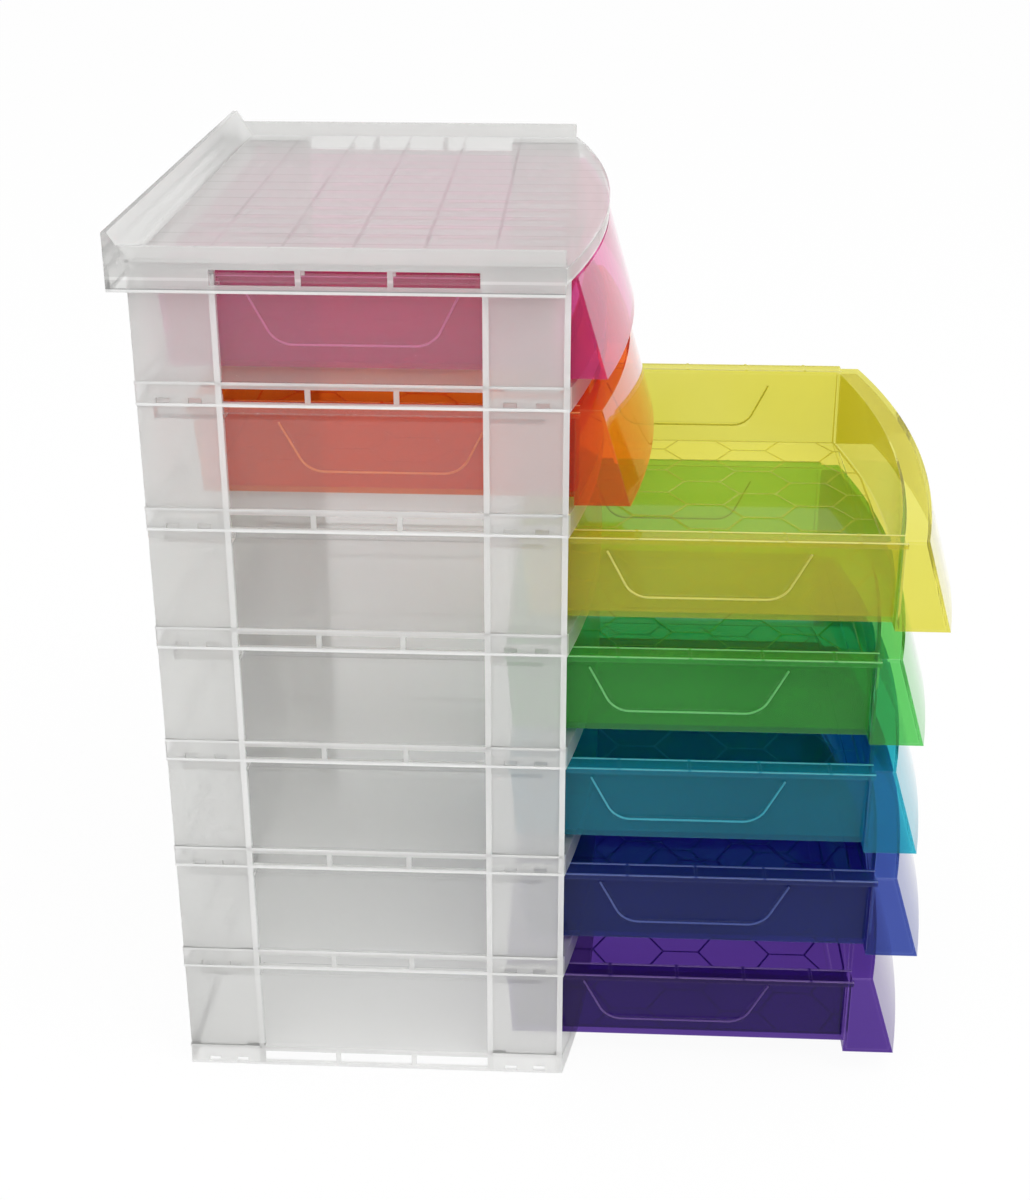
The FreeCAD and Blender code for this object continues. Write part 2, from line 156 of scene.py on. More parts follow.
class ShaderTree:
    """A thin hand on one node tree: add a node with its values, and join sockets."""

    def __init__(self, tree: bpy.types.NodeTree) -> None:
        """Take the tree and start it empty."""
        self.tree = tree
        tree.nodes.clear()

    def add(self, kind: str, values: dict | None = None, **settings: object) -> bpy.types.Node:
        """Add a node.

        Args:
            kind: The node's type name.
            values: Socket values, or sockets to join, by input name or number.
            settings: Properties set on the node itself.

        Returns:
            The new node.
        """
        node = self.tree.nodes.new(kind)
        for name, value in settings.items():
            setattr(node, name, value)
        for name, value in (values or {}).items():
            if isinstance(value, bpy.types.NodeSocket):
                self.tree.links.new(value, node.inputs[name])
            else:
                node.inputs[name].default_value = value
        return node

    def group(self, tree: bpy.types.NodeTree, values: dict) -> bpy.types.Node:
        """Place a shared group with its own values and return its node."""
        return self.add("ShaderNodeGroup", values, node_tree=tree)

    def math(self, operation: str, first: object, second: object = 0.0) -> bpy.types.NodeSocket:
        """Add a Math node on two values or sockets and return what it puts out."""
        return self.add("ShaderNodeMath", {0: first, 1: second}, operation=operation).outputs[0]

    def span(self, value: object, low: float, high: float, to_low: float = 0.0,
             to_high: float = 1.0) -> bpy.types.NodeSocket:
        """Map a value smoothly from one range to another, 0 to 1 if not given, and return the result."""
        node = self.add("ShaderNodeMapRange", {"Value": value, "From Min": low, "From Max": high,
                                               "To Min": to_low, "To Max": to_high},
                        interpolation_type="SMOOTHSTEP")
        return node.outputs["Result"]

    def blend(self, share: object, first: object, second: object) -> bpy.types.NodeSocket:
        """Mix two colours by a share and return the mixed colour."""
        node = self.add("ShaderNodeMix", data_type="RGBA")
        wanted = {"Factor": share, "A": first, "B": second}
        for socket in node.inputs:
            kind = "VALUE" if socket.name == "Factor" else "RGBA"
            if socket.name in wanted and socket.type == kind:
                value = wanted.pop(socket.name)
                if isinstance(value, bpy.types.NodeSocket):
                    self.tree.links.new(value, socket)
                else:
                    socket.default_value = value
        return next(socket for socket in node.outputs if socket.type == "RGBA")

    def place(self) -> bpy.types.NodeSocket:
        """Return the Object coordinates."""
        return self.add("ShaderNodeTexCoord").outputs["Object"]


class MouldedSkin:
    """The shared node groups of the moulded plastics."""
    FINE_SCALE: float = 900.0
    BROAD_SHARE: float = 0.7
    FINE_SHARE: float = 0.3
    SCRATCH_STRETCH: tuple[float, float, float] = (60.0, 60.0, 700.0)
    BLOOM_SCALE: float = 22.0
    FADE_SCALE: float = 26.0
    PANE_SOFT: float = 0.0003
    LINE_SOFT: float = 0.0002
    STOREY_SLACK: float = 0.0001
    BEVEL_SAMPLES: int = 4
    GRID_HALF_X: float = 0.100
    GRID_HALF_Y: float = 0.074
    GRID_FADE: float = 0.002
    RIB_SHADE_SOFT: float = 0.0008

    def __init__(self) -> None:
        """Build each group once."""
        self.flow = self._flow_group()
        self.handling = self._handling_group()
        self.edges = self._edge_group()
        self.edge_highlights = self._highlight_group()
        self.rib_shading = self._rib_shade_group()

    @staticmethod
    def _new(name: str, inputs: dict[str, tuple[str, object]], outputs: dict[str, str]) -> ShaderTree:
        """Make an empty group.

        Args:
            name: The group's name.
            inputs: Socket type and first value by name.
            outputs: Socket type by name.

        Returns:
            The group's tree, with its interface and no nodes.
        """
        group = bpy.data.node_groups.new(name, "ShaderNodeTree")
        for label, (kind, value) in inputs.items():
            socket = group.interface.new_socket(label, in_out="INPUT", socket_type=kind)
            socket.default_value = value
        for label, kind in outputs.items():
            group.interface.new_socket(label, in_out="OUTPUT", socket_type=kind)
        return ShaderTree(group)

    def _flow_group(self) -> bpy.types.NodeTree:
        """Colour and height of melt that flowed unevenly through the mould."""
        tree = self._new(
            "moulding_flow",
            {"Thin": ("NodeSocketColor", WHITE), "Thick": ("NodeSocketColor", WHITE),
             "Scale": ("NodeSocketFloat", 14.0)},
            {"Color": "NodeSocketColor", "Height": "NodeSocketFloat"})
        given = tree.add("NodeGroupInput")
        place = tree.place()
        broad = tree.add("ShaderNodeTexNoise", {
            "Vector": place, "Scale": given.outputs["Scale"], "Detail": 3.0, "Roughness": 0.45})
        fine = tree.add("ShaderNodeTexNoise", {"Vector": place, "Scale": self.FINE_SCALE, "Detail": 2.0})
        share = tree.span(broad.outputs["Fac"], 0.32, 0.72)
        mixed = tree.blend(share, given.outputs["Thin"], given.outputs["Thick"])
        height = tree.math("ADD", tree.math("MULTIPLY", broad.outputs["Fac"], self.BROAD_SHARE),
                           tree.math("MULTIPLY", fine.outputs["Fac"], self.FINE_SHARE))
        tree.add("NodeGroupOutput", {"Color": mixed, "Height": height})
        return tree.tree

    def _handling_group(self) -> bpy.types.NodeTree:
        """Roughness of a surface with fine rubbed scratches and a dull bloom."""
        tree = self._new(
            "handling_marks",
            {"Smooth": ("NodeSocketFloat", 0.04), "Rubbed": ("NodeSocketFloat", 0.12)},
            {"Roughness": "NodeSocketFloat"})
        given = tree.add("NodeGroupInput")
        place = tree.place()
        stretched = tree.add("ShaderNodeMapping", {"Vector": place, "Scale": self.SCRATCH_STRETCH})
        scratch = tree.add("ShaderNodeTexNoise", {
            "Vector": stretched.outputs["Vector"], "Scale": 1.0, "Detail": 4.0, "Roughness": 0.7})
        bloom = tree.add("ShaderNodeTexNoise", {"Vector": place, "Scale": self.BLOOM_SCALE, "Detail": 3.0})
        marks = tree.math("MULTIPLY", tree.span(scratch.outputs["Fac"], 0.52, 0.74),
                          tree.span(bloom.outputs["Fac"], 0.38, 0.66, 0.25, 1.0))
        spread = tree.math("SUBTRACT", given.outputs["Rubbed"], given.outputs["Smooth"])
        rough = tree.math("ADD", given.outputs["Smooth"], tree.math("MULTIPLY", marks, spread))
        tree.add("NodeGroupOutput", {"Roughness": rough})
        return tree.tree

    def _edge_group(self) -> bpy.types.NodeTree:
        """Masks of the tower: clear panes, the strips beside them, the line under each tier, the inside."""
        tree = self._new(
            "tower_edges",
            {"Window Half": ("NodeSocketFloat", 0.048), "Strip": ("NodeSocketFloat", 0.0023),
             "Pitch": ("NodeSocketFloat", 0.05), "Line": ("NodeSocketFloat", 0.0014),
             "Inner Half": ("NodeSocketFloat", 0.11)},
            {"Pane": "NodeSocketFloat", "Strip": "NodeSocketFloat", "Line": "NodeSocketFloat",
             "Inner": "NodeSocketFloat"})
        given = tree.add("NodeGroupInput")
        parts = tree.add("ShaderNodeSeparateXYZ", {"Vector": tree.place()})
        along = tree.math("ABSOLUTE", parts.outputs["Y"])
        beyond = tree.math("SUBTRACT", along, given.outputs["Window Half"])
        pane = tree.span(beyond, self.PANE_SOFT, -self.PANE_SOFT)
        past = tree.math("SUBTRACT", beyond, given.outputs["Strip"])
        strip = tree.math("MULTIPLY", tree.span(beyond, -self.PANE_SOFT, self.PANE_SOFT),
                          tree.span(past, self.PANE_SOFT, -self.PANE_SOFT))
        raised = tree.math("ADD", parts.outputs["Z"], self.STOREY_SLACK)
        storey = tree.math("MODULO", raised, given.outputs["Pitch"])
        above = tree.math("SUBTRACT", storey, given.outputs["Line"])
        line = tree.span(above, self.LINE_SOFT, -self.LINE_SOFT)
        across = tree.math("ABSOLUTE", parts.outputs["X"])
        aside = tree.math("SUBTRACT", across, given.outputs["Inner Half"])
        inner = tree.span(aside, self.LINE_SOFT, -self.LINE_SOFT)
        tree.add("NodeGroupOutput", {"Pane": pane, "Strip": strip, "Line": line, "Inner": inner})
        return tree.tree

    def _highlight_group(self) -> bpy.types.NodeTree:
        """Mask of the places within reach of a sharp edge, where a highlight is painted."""
        tree = self._new("edge_highlight_mask", {"Reach": ("NodeSocketFloat", 0.001)}, {"Highlight": "NodeSocketFloat"})
        given = tree.add("NodeGroupInput")
        eased = tree.add("ShaderNodeBevel", {"Radius": given.outputs["Reach"]}, samples=self.BEVEL_SAMPLES)
        facing = tree.add("ShaderNodeNewGeometry")
        along = tree.add("ShaderNodeVectorMath", {0: eased.outputs["Normal"], 1: facing.outputs["Normal"]},
                         operation="DOT_PRODUCT")
        tree.add("NodeGroupOutput", {"Highlight": tree.span(along.outputs["Value"], 0.98, 0.80)})
        return tree.tree

    def _rib_shade_group(self) -> bpy.types.NodeTree:
        """Mask of the plate above its grid of ribs, where their shade is painted, fading in and out."""
        tree = self._new(
            "rib_shade_lines",
            {"Across": ("NodeSocketFloat", 0.015), "Along": ("NodeSocketFloat", 0.026),
             "Width": ("NodeSocketFloat", 0.001)},
            {"Rib Shade": "NodeSocketFloat"})
        given = tree.add("NodeGroupInput")
        place = tree.place()
        parts = tree.add("ShaderNodeSeparateXYZ", {"Vector": place})
        facing = tree.add("ShaderNodeNewGeometry")
        turned = tree.add("ShaderNodeSeparateXYZ", {"Vector": facing.outputs["True Normal"]})
        fade = tree.add("ShaderNodeTexNoise", {"Vector": place, "Scale": self.FADE_SCALE, "Detail": 2.0})
        lines = []
        for axis, pitch, reach in (("X", "Across", self.GRID_HALF_X), ("Y", "Along", self.GRID_HALF_Y)):
            half_pitch = tree.math("MULTIPLY", given.outputs[pitch], 0.5)
            apart = tree.math("PINGPONG", parts.outputs[axis], half_pitch)
            beyond = tree.math("SUBTRACT", apart, given.outputs["Width"])
            away = tree.math("ABSOLUTE", parts.outputs[axis])
            within = tree.span(away, reach, reach + self.GRID_FADE, 1.0, 0.0)
            lines.append(tree.math("MULTIPLY", tree.span(beyond, 0.0, -self.RIB_SHADE_SOFT), within))
        level = tree.span(turned.outputs["Z"], 0.9, 0.98)
        shown = tree.math("MULTIPLY", level, tree.span(fade.outputs["Fac"], 0.30, 0.62, 0.15, 1.0))
        shade_mask = tree.math("MULTIPLY", tree.math("MAXIMUM", lines[0], lines[1]), shown)
        tree.add("NodeGroupOutput", {"Rib Shade": shade_mask})
        return tree.tree


class Plastics:
    """Materials of the unit, each made once from its finish."""

    def __init__(self, skin: MouldedSkin) -> None:
        """Keep the shared groups."""
        self.skin = skin

    @staticmethod
    def _start(name: str) -> tuple[bpy.types.Material, ShaderTree]:
        """Make an empty material and return it with its tree."""
        material = bpy.data.materials.new(name)
        material.use_nodes = True
        return material, ShaderTree(material.node_tree)

    @staticmethod
    def _colour(colour: Colour) -> tuple[float, float, float, float]:
        """Add full alpha to a colour."""
        return (*colour, 1.0)

    def tinted(self, finish: TintFinish, name: str, front: float) -> bpy.types.Material:
        """Make a drawer's plastic.

        Args:
            finish: The plastic's colours.
            name: The material's name.
            front: Where the hood's fluted face begins, along Y in metres.

        Returns:
            The drawer's material.
        """
        material, tree = self._start(name)
        flow = tree.group(self.skin.flow, {
            "Thin": self._colour(finish.tint), "Thick": self._colour(finish.deep),
            "Scale": finish.flow_scale})
        marks = tree.group(self.skin.handling, {"Smooth": finish.smooth, "Rubbed": finish.rubbed})
        parts = tree.add("ShaderNodeSeparateXYZ", {"Vector": tree.place()})
        facing = tree.add("ShaderNodeNewGeometry")
        turned = tree.add("ShaderNodeSeparateXYZ", {"Vector": facing.outputs["True Normal"]})
        wave = tree.math("MULTIPLY", parts.outputs["X"], 2 * math.pi / finish.flute_pitch)
        flute = tree.math("SINE", wave)
        ahead = tree.math("MULTIPLY", tree.span(turned.outputs["Y"], -0.7, -0.85),
                          tree.span(parts.outputs["Y"], front, front - finish.flute_start))
        fluted = tree.math("MULTIPLY", tree.span(flute, 0.93, 0.99), ahead)
        outside = tree.math("SUBTRACT", 1.0, facing.outputs["Backfacing"])
        extra = tree.math("MULTIPLY", ahead, 1.0 - finish.side_coat)
        gloss = tree.math("MULTIPLY", tree.math("ADD", extra, finish.side_coat), outside)
        height = tree.math("MULTIPLY", fluted, -finish.flute_sink)
        bump = tree.add("ShaderNodeBump", {
            "Height": height, "Strength": finish.flute_strength, "Distance": finish.flute_distance})
        # Painted highlight: within reach of a sharp edge the colour turns to the paler edge tint.
        rim = tree.group(self.skin.edge_highlights, {"Reach": finish.highlight_reach})
        highlighted = tree.blend(rim.outputs["Highlight"], flow.outputs["Color"], self._colour(finish.edge))
        # Painted shade: the flute grooves take the deep tint.
        shade = tree.math("MULTIPLY", fluted, finish.flute_shade)
        colour = tree.blend(shade, highlighted, self._colour(finish.deep))
        shader = tree.add("ShaderNodeBsdfPrincipled", {
            "Base Color": colour, "Roughness": marks.outputs["Roughness"], "Normal": bump.outputs["Normal"],
            "IOR": finish.refraction, "Transmission Weight": finish.clarity, "Metallic": 0.0,
            "Coat Weight": gloss, "Coat Roughness": finish.coat_roughness,
            "Coat IOR": finish.coat_refraction})
        tree.add("ShaderNodeOutputMaterial", {"Surface": shader.outputs["BSDF"]})
        return material

    def frosted(self, finish: FrostFinish, name: str, area: FrostArea) -> bpy.types.Material:
        """Make the tower's frosted plastic.

        Args:
            finish: Its colours and roughness.
            name: The material's name.
            area: What the piece shows besides plain frost.

        Returns:
            The material.
        """
        material, tree = self._start(name)
        flow = tree.group(self.skin.flow, {
            "Thin": self._colour(finish.pale), "Thick": self._colour(finish.milky),
            "Scale": finish.flow_scale})
        marks = tree.group(self.skin.handling, {
            "Smooth": finish.grain_roughness, "Rubbed": finish.grain_roughness + finish.grain_spread})
        edges = tree.group(self.skin.edges, {
            "Window Half": finish.window_half, "Strip": finish.strip_width, "Pitch": finish.tier_pitch,
            "Line": finish.line_height, "Inner Half": finish.inner_half})
        rough = marks.outputs["Roughness"]
        # Painted highlight: the line under each tier, or on a windowed panel the strips beside the pane, take
        # the whiter edge colour.
        highlight = edges.outputs["Line"]
        cover = 1.0
        if area is FrostArea.WINDOWED:
            pane = edges.outputs["Pane"]
            drop = finish.grain_roughness - finish.pane_roughness
            rough = tree.math("SUBTRACT", rough, tree.math("MULTIPLY", pane, drop))
            cover = tree.math("SUBTRACT", 1.0, tree.math("MULTIPLY", pane, 1.0 - finish.pane_alpha))
            highlight = edges.outputs["Strip"]
        if area is FrostArea.SHELF:
            thinned = tree.math("MULTIPLY", edges.outputs["Inner"], 1.0 - finish.plate_alpha)
            cover = tree.math("SUBTRACT", 1.0, thinned)
        colour = tree.blend(highlight, flow.outputs["Color"], self._colour(finish.edge))
        if area is FrostArea.RIBBED:
            # Painted shade: over the grid of ribs the cover's plate takes the darker rib shade colour.
            rib_shading = tree.group(self.skin.rib_shading, {
                "Across": finish.rib_across, "Along": finish.rib_along, "Width": finish.rib_width})
            colour = tree.blend(rib_shading.outputs["Rib Shade"], colour, self._colour(finish.rib_shade))
        bump = tree.add("ShaderNodeBump", {
            "Height": flow.outputs["Height"], "Strength": finish.grain_height,
            "Distance": finish.grain_distance})
        shader = tree.add("ShaderNodeBsdfPrincipled", {
            "Base Color": colour, "Roughness": rough, "Normal": bump.outputs["Normal"], "Alpha": cover,
            "IOR": finish.refraction, "Transmission Weight": finish.transmission, "Metallic": 0.0})
        tree.add("ShaderNodeOutputMaterial", {"Surface": shader.outputs["BSDF"]})
        return material


class Bench:
    """Selection and finishing work that every piece needs."""

    @staticmethod
    def clear() -> None:
        """Leave edit mode and deselect everything."""
        if bpy.context.object is not None and bpy.context.object.mode != "OBJECT":
            bpy.ops.object.mode_set(mode="OBJECT")
        bpy.ops.object.select_all(action="DESELECT")

    @staticmethod
    def pick(piece: bpy.types.Object) -> None:
        """Select one piece alone and make it active."""
        Bench.clear()
        piece.select_set(True)
        bpy.context.view_layer.objects.active = piece

    @staticmethod
    def apply(piece: bpy.types.Object, kind: str, **settings: object) -> None:
        """Add a modifier with its settings and apply it to the piece."""
        Bench.pick(piece)
        modifier = piece.modifiers.new(kind.lower(), kind)
        for name, value in settings.items():
            setattr(modifier, name, value)
        bpy.ops.object.modifier_apply(modifier=modifier.name)

    @staticmethod
    def settle(piece: bpy.types.Object) -> None:
        """Put the piece's place and turn into its mesh."""
        Bench.pick(piece)
        bpy.ops.object.transform_apply(location=True, rotation=True, scale=True)

    @staticmethod
    def choose(piece: bpy.types.Object, kind: str, wanted: Callable[[object], bool]) -> None:
        """Enter edit mode with only some of a piece's mesh selected.

        Args:
            piece: The piece.
            kind: VERT or FACE.
            wanted: Tells whether a vertex or face is selected.
        """
        Bench.pick(piece)
        bpy.ops.object.mode_set(mode="EDIT")
        bpy.ops.mesh.select_mode(type=kind)
        bpy.ops.mesh.select_all(action="DESELECT")
        bpy.ops.object.mode_set(mode="OBJECT")
        for part in piece.data.vertices if kind == "VERT" else piece.data.polygons:
            part.select = wanted(part)
        bpy.ops.object.mode_set(mode="EDIT")

    @staticmethod
    def block(name: str, middle: Place, size: Place) -> bpy.types.Object:
        """Start a piece from a block.

        Args:
            name: The piece's name.
            middle: The block's middle in metres.
            size: Its lengths along X, Y and Z.

        Returns:
            The block, with its place in its mesh.
        """
        Bench.clear()
        bpy.ops.mesh.primitive_cube_add(size=1.0, location=middle)
        piece = bpy.context.object
        piece.name = name
        piece.data.name = name
        piece.scale = size
        Bench.settle(piece)
        return piece

    @staticmethod
    def dress(node: str, material: bpy.types.Material) -> None:
        """Give every slot of a CAD node its material."""
        piece = frame["nodes"][node]
        if not piece.material_slots:
            piece.data.materials.append(material)
        for slot in piece.material_slots:
            slot.material = material


def nodes_of(body: str) -> list[str]:
    """List the CAD nodes of one body."""
    return frame["record"]["behaviour"]["bodies"][body]


@dataclass
class Tower:
    """The frosted cabinet: cover, shelves and panels, with painted highlight lines along their edges."""
    finish: FrostFinish = field(default_factory=FrostFinish)
    cover_roughness: float = 0.07
    cover_pale: Colour = (0.84, 0.84, 0.83)
    cover_milky: Colour = (0.80, 0.80, 0.79)
    trim_transmission: float = 0.30
    strip_transmission: float = 0.50
    seam_low: float = 0.0084
    tiers: int = 7
    cover_half: float = 0.121
    cover_front: float = -0.078
    cover_rear: float = 0.085
    cover_low: float = 0.3465
    cover_wall: float = 0.0014
    half_width: float = 0.11195
    half_depth: float = 0.07995
    panel_half: float = 0.07975
    trim_rise: float = 0.0002

    def build(self, plastics: Plastics) -> None:
        """Dress every panel, shelf and the cover, and lay the painted highlight lines on them."""
        self._dress(plastics)
        self._lay_highlights(plastics)

    def _dress(self, plastics: Plastics) -> None:
        """Give each CAD piece of the tower its frosted plastic, by the first word found in its name."""
        panel = plastics.frosted(self.finish, "frosted_panel", FrostArea.WINDOWED)
        shelf = plastics.frosted(self.finish, "frosted_shelf", FrostArea.SHELF)
        plain = plastics.frosted(self.finish, "frosted_back", FrostArea.PLAIN)
        clearer = replace(self.finish, grain_roughness=self.cover_roughness, pale=self.cover_pale,
                          milky=self.cover_milky)
        cover = plastics.frosted(clearer, "frosted_cover", FrostArea.RIBBED)
        by_word = {"cover": cover, "base": plain, "shelf": shelf, "back": plain, "left": panel,
                   "right": panel}
        for node in nodes_of("cabinet"):
            word = next(word for word in by_word if word in node)
            Bench.dress(node, by_word[word])
            LOG.info("dressed %s", node)

    def _lay_highlights(self, plastics: Plastics) -> None:
        """Lay the painted highlight lines and strips, and the pale seam lines over the shadow gaps, on the
        tower's faces.
        """
        # The trim and strip plastics take the whiter edge colour, a painted highlight.
        highlight = replace(self.finish, pale=self.finish.edge, transmission=self.trim_transmission)
        trim = plastics.frosted(highlight, "edge_highlight_trim", FrostArea.PLAIN)
        hazy = replace(highlight, transmission=self.strip_transmission)
        strip = plastics.frosted(hazy, "highlight_strip", FrostArea.PLAIN)
        window = self.finish.window_half
        width = self.finish.strip_width
        skirt = (self.half_width, -self.panel_half, self.half_depth)
        lid = (self.cover_half, self.cover_front, self.cover_rear)
        tier_lines = self._band("tier_lines", skirt, 0.0, self.trim_rise)
        self._stack(tier_lines)
        cover_line = self._band("cover_line", lid, self.cover_low - self.finish.line_height, -self.cover_wall)
        window_strips = self._upright("window_strips", window, window + width, True)
        front_strips = self._upright("front_strips", -self.panel_half, width - self.panel_half, False)
        # Pale strips of painted light over the shadow gap where each panel meets its skirt.
        seam_lines = self._band("seam_lines", skirt, self.seam_low, self.trim_rise)
        self._stack(seam_lines)
        laid = ((tier_lines, trim), (cover_line, trim), (seam_lines, strip), (window_strips, strip),
                (front_strips, strip))
        for piece, material in laid:
            piece.data.materials.append(material)
            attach(piece, "cabinet")
            LOG.info("laid %s", piece.name)

    def _band(self, name: str, plan: Place, low: float, rise: float) -> bpy.types.Object:
        """Model a pale line of painted light around a skirt, along its sides and rear.

        Args:
            name: The piece's name.
            plan: Half the skirt's width, and its front and rear ends along Y.
            low: The line's lower edge.
            rise: How far the line stands out of the skirt's face, or below 0 how far it reaches in.

        Returns:
            The line.
        """
        height = self.finish.line_height
        half, front, rear = plan
        piece = Bench.block(name, (0.0, (front + rear) / 2, low + height / 2),
                            (2 * half, rear - front, height))
        Bench.choose(piece, "FACE", lambda part: abs(part.normal.z) > 0.5 or part.normal.y < -0.5)
        bpy.ops.mesh.delete(type="FACE")
        Bench.apply(piece, "SOLIDIFY", thickness=abs(rise), offset=math.copysign(1.0, rise),
                    use_even_offset=True)
        return piece

    def _upright(self, name: str, near: float, far: float, paired: bool) -> bpy.types.Object:
        """Model an upright strip of painted highlight on both sides of every storey.

        Args:
            name: The piece's name.
            near: Where the strip begins along Y.
            far: Where it ends along Y.
            paired: True where the strip is repeated on the other side of the window.

        Returns:
            The strips of all storeys in one piece.
        """
        low = self.finish.line_height
        high = self.finish.tier_pitch
        piece = Bench.block(name, (-self.half_width - self.trim_rise / 2, (near + far) / 2, (low + high) / 2),
                            (self.trim_rise, far - near, high - low))
        Bench.apply(piece, "BEVEL", width=self.trim_rise / 3, segments=2)
        Bench.apply(piece, "MIRROR", use_axis=(True, paired, False))
        self._stack(piece)
        return piece

    def _stack(self, piece: bpy.types.Object) -> None:
        """Repeat a piece on every tier."""
        Bench.apply(piece, "ARRAY", count=self.tiers, use_relative_offset=False, use_constant_offset=True,
                    constant_offset_displace=(0.0, 0.0, self.finish.tier_pitch))


@dataclass
class Drawer:
    """One see-through drawer, with the honeycomb of ribs on its floor and the painted highlight lines of its
    edges.
    """
    colour: DrawerColour
    hood_depth: float = 0.034
    hex_across: float = 0.028
    rib_width: float = 0.0010
    rib_rise: float = 0.55
    floor_level: float = 0.0026
    floor_half: float = 0.0965
    floor_rear: float = 0.0045
    floor_front: float = 0.1508
    bow_half: float = 0.050
    bow_drop: float = 0.0073
    nib_height: float = 0.0035
    rim_length: float = 0.1458
    rim_face: float = 0.0088
    rim_width: float = 0.0072
    line_width: float = 0.0009
    line_rise: float = 0.0003
    tray_rear: float = 0.072
    wall_depth: float = 0.037
    wall_taper: float = 0.0025
    bead_top: float = 0.078
    bead_bottom: float = 0.058
    bead_drop: float = 0.008
    bead_depth: float = 0.020
    bead_relief: float = 0.0006
    bead_corner: float = 0.006
    corner_segments: int = 6
    bead_rounding: int = 2
    merge_gap: float = 0.0001
    trim_gap: float = 0.0003

    @property
    def node(self) -> str:
        """The name of the drawer's CAD node."""
        return f"{self.colour.value.body}_drawer"

    def build(self, plastics: Plastics) -> None:
        """Dress the moulding and add its floor ribs and the painted highlight lines of its rims and walls."""
        finish = self.colour.value
        low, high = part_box(self.node)
        front = low.y + self.hood_depth
        plain = plastics.tinted(finish, finish.slot, front)
        # The paler plastic of the rim and wall lines is a painted highlight.
        highlight_plastic = plastics.tinted(finish.highlighted, f"{finish.body}_lit", front)
        Bench.dress(self.node, plain)
        pieces = ((self._floor_ribs(low, high), plain), (self._rim_lines(high), highlight_plastic),
                  (self._wall_lines(high), highlight_plastic))
        for piece, material in pieces:
            piece.data.materials.append(material)
            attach(piece, finish.body)
            LOG.info("added %s", piece.name)

    def _rim_lines(self, high: Vector) -> bpy.types.Object:
        """Model the painted highlight line along both edges of each side rim.

        Args:
            high: The drawer's highest corner.

        Returns:
            The four lines in one piece.
        """
        rim = high.z - self.nib_height
        middle = (high.x - self.line_width / 2, high.y - self.rim_length / 2, rim + self.line_rise / 3)
        piece = Bench.block(f"{self.colour.value.body}_rim_lines", middle,
                            (self.line_width, self.rim_length, self.line_rise))
        Bench.apply(piece, "BEVEL", width=self.line_rise / 3, segments=2)
        Bench.apply(piece, "ARRAY", count=2, use_relative_offset=False, use_constant_offset=True,
                    constant_offset_displace=(self.line_width - self.rim_face, 0.0, 0.0))
        Bench.apply(piece, "MIRROR", use_axis=(True, False, False))
        return piece

    def _wall_lines(self, high: Vector) -> bpy.types.Object:
        """Model the painted highlight line on the raised trapezoid of each side wall.

        Args:
            high: The drawer's highest corner.

        Returns:
            Both outlines in one piece.
        """
        rim = high.z - self.nib_height
        taper = math.atan2(self.wall_taper, self.wall_depth)
        skin = high.x - self.rim_width + self.bead_relief
        half_way = self.bead_drop + self.bead_depth / 2
        piece = self._outline()
        piece.name = f"{self.colour.value.body}_wall_lines"
        piece.data.name = piece.name
        piece.location = (skin - math.tan(taper) * half_way, high.y - self.tray_rear, rim - half_way)
        piece.rotation_euler = (0.0, taper, 0.0)
        Bench.settle(piece)
        Bench.apply(piece, "MIRROR", use_axis=(True, False, False))
        return piece

    def _outline(self) -> bpy.types.Object:
        """Model a round bead along the two sides and the foot of a trapezoid with rounded lower corners.

        Returns:
            The bead, upright around the origin.
        """
        Bench.clear()
        bpy.ops.mesh.primitive_plane_add(size=1.0, rotation=(0.0, math.pi / 2, 0.0))
        piece = bpy.context.object
        piece.scale = (self.bead_depth, self.bead_top, 1.0)
        Bench.settle(piece)
        Bench.choose(piece, "VERT", lambda part: part.co.z < 0.0)
        bpy.ops.transform.resize(value=(1.0, self.bead_bottom / self.bead_top, 1.0))
        bpy.ops.mesh.bevel(offset=self.bead_corner, segments=self.corner_segments, affect="VERTICES")
        bpy.ops.mesh.select_all(action="SELECT")
        bpy.ops.mesh.delete(type="ONLY_FACE")
        Bench.choose(piece, "VERT", lambda part: part.co.z > self.bead_depth / 2 - self.line_rise)
        bpy.ops.mesh.delete(type="EDGE_FACE")
        Bench.pick(piece)
        bpy.ops.object.convert(target="CURVE")
        piece = bpy.context.object
        piece.data.bevel_depth = self.line_width / 2
        piece.data.bevel_resolution = self.bead_rounding
        piece.data.use_fill_caps = True
        bpy.ops.object.convert(target="MESH")
        return bpy.context.object

